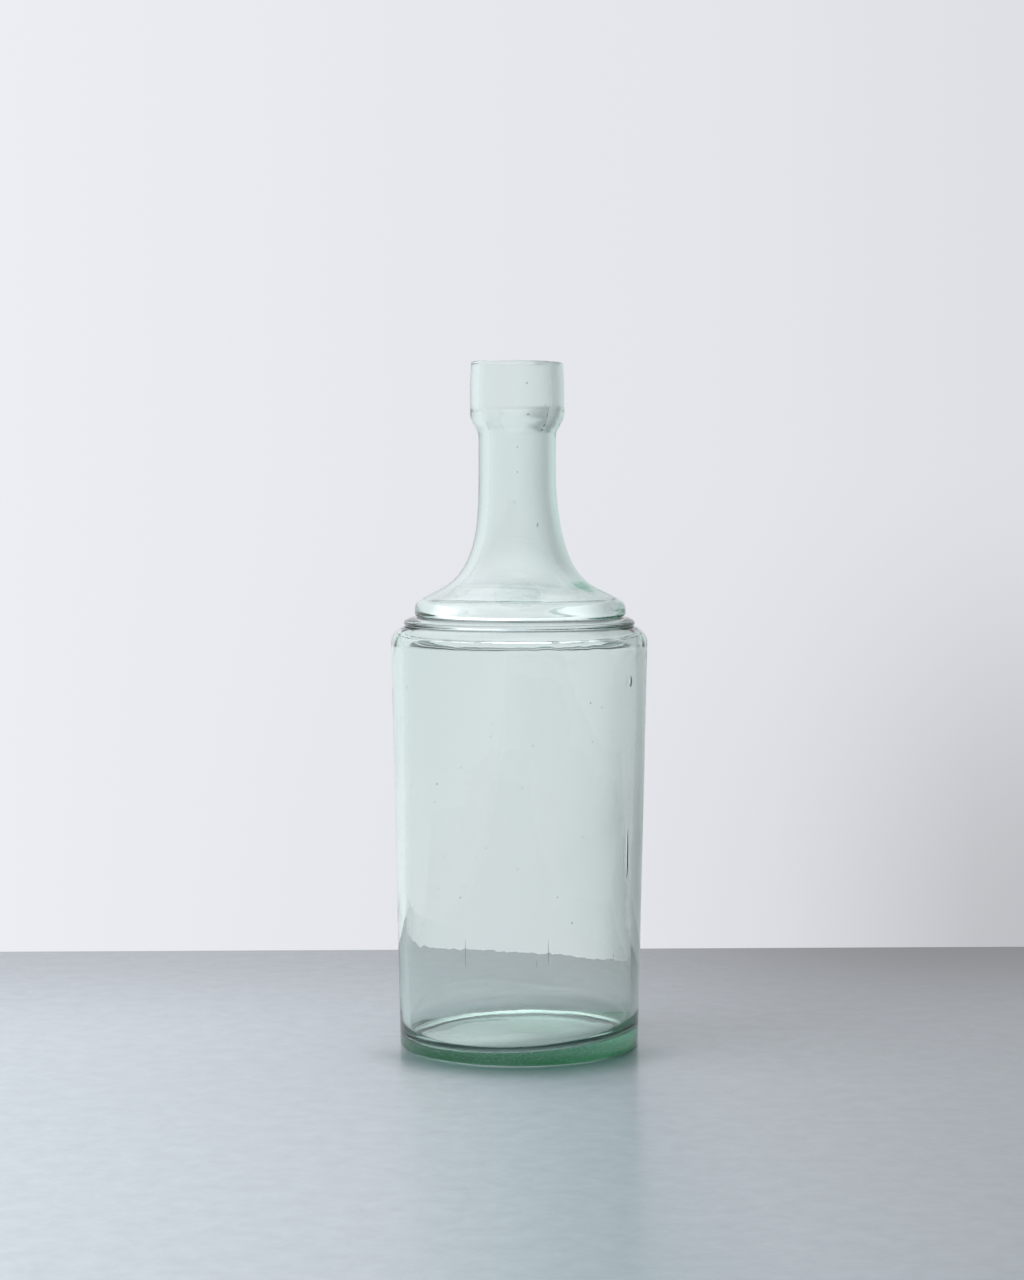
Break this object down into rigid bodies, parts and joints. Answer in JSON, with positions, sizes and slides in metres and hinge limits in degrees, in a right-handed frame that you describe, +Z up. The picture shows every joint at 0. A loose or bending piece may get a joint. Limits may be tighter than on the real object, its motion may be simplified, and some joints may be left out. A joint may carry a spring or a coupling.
{
  "type": "bottle vase",
  "caption": "Tall bottle-shaped glass vase with a tapered round body, stepped shoulder, flared neck and cup-shaped mouth, for flower stems.",
  "frame": {"origin": "centre of the foot, on the surface that the vase stands on", "axes": "+Z up along the vase's axis of turning, towards the mouth; the vase is round, so X and Y are free"},
  "size_m": [0.1132, 0.1132, 0.3013],
  "materials": {
    "green_glass": "clear pale-green glass, fire-polished"
  },
  "bodies": {
    "root": {"base": "green_glass", "body": "green_glass", "shoulder_ring": "green_glass", "neck": "green_glass", "mouth_cup": "green_glass"}
  },
  "joints": []
}
